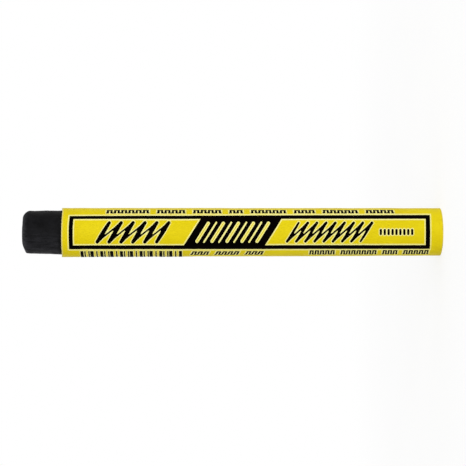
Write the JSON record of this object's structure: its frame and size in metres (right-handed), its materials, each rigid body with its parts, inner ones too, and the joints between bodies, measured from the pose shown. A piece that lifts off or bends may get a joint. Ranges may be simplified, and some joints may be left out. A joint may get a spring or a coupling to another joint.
{
  "type": "solid paint marker",
  "caption": "Solid stick of black marking paint in a wound yellow paper sleeve with a black printed label, standing on its tail with the bare nose up.",
  "frame": {"origin": "centre of the tail face, on the stick's axis", "axes": "+Z along the stick, from the tail to the bare nose; -Y out of the middle of the printed label; +X to the label's upper edge"},
  "size_m": [0.0105, 0.0106, 0.09],
  "materials": {
    "black_paint": "matte",
    "yellow_paper": "satin",
    "black_ink": "satin"
  },
  "bodies": {
    "root": {"paint_stick": "black_paint", "paper_sleeve": "yellow_paper", "print_frame": "black_ink", "print_panel": "black_ink", "print_bold_wave": "black_ink", "print_fine_wave": "black_ink", "print_bars": "black_ink"}
  },
  "joints": []
}
